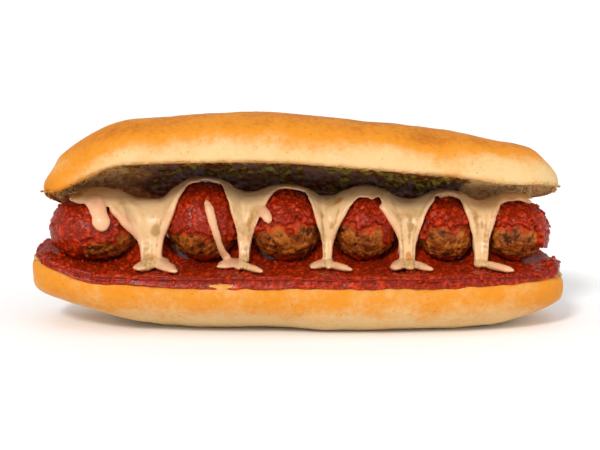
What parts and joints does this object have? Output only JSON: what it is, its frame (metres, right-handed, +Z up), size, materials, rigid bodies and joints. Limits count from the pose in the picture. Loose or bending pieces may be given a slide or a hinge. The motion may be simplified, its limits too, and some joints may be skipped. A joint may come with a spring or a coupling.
{
  "type": "submarine sandwich",
  "caption": "Long soft roll in two halves, filled with whole meatballs on tomato sauce under hanging melted cheese.",
  "frame": {"origin": "the middle of the sandwich's bounding box, at the level of the flat base it rests on", "axes": "+X along the roll, +Y from the open front to the back, +Z up"},
  "size_m": [0.235, 0.0798, 0.0945],
  "materials": {
    "bread": "soft golden-brown baked crust with pale cream crumb where it is cut",
    "tomato_sauce": "wet glossy chunky red tomato sauce",
    "browned_meat": "coarse browned ground meat, slightly moist",
    "melted_cheese": "smooth glossy melted cream-coloured cheese"
  },
  "bodies": {
    "root": {"bottom_bun": "bread", "top_bun": "bread", "sauce_bed": "tomato_sauce", "meatball_1": "browned_meat", "meatball_2": "browned_meat", "meatball_3": "browned_meat", "meatball_4": "browned_meat", "meatball_5": "browned_meat", "meatball_6": "browned_meat", "sauce_cap_1": "tomato_sauce", "sauce_cap_2": "tomato_sauce", "sauce_cap_3": "tomato_sauce", "sauce_cap_4": "tomato_sauce", "sauce_cap_5": "tomato_sauce", "sauce_cap_6": "tomato_sauce", "cheese": "melted_cheese"}
  },
  "joints": []
}
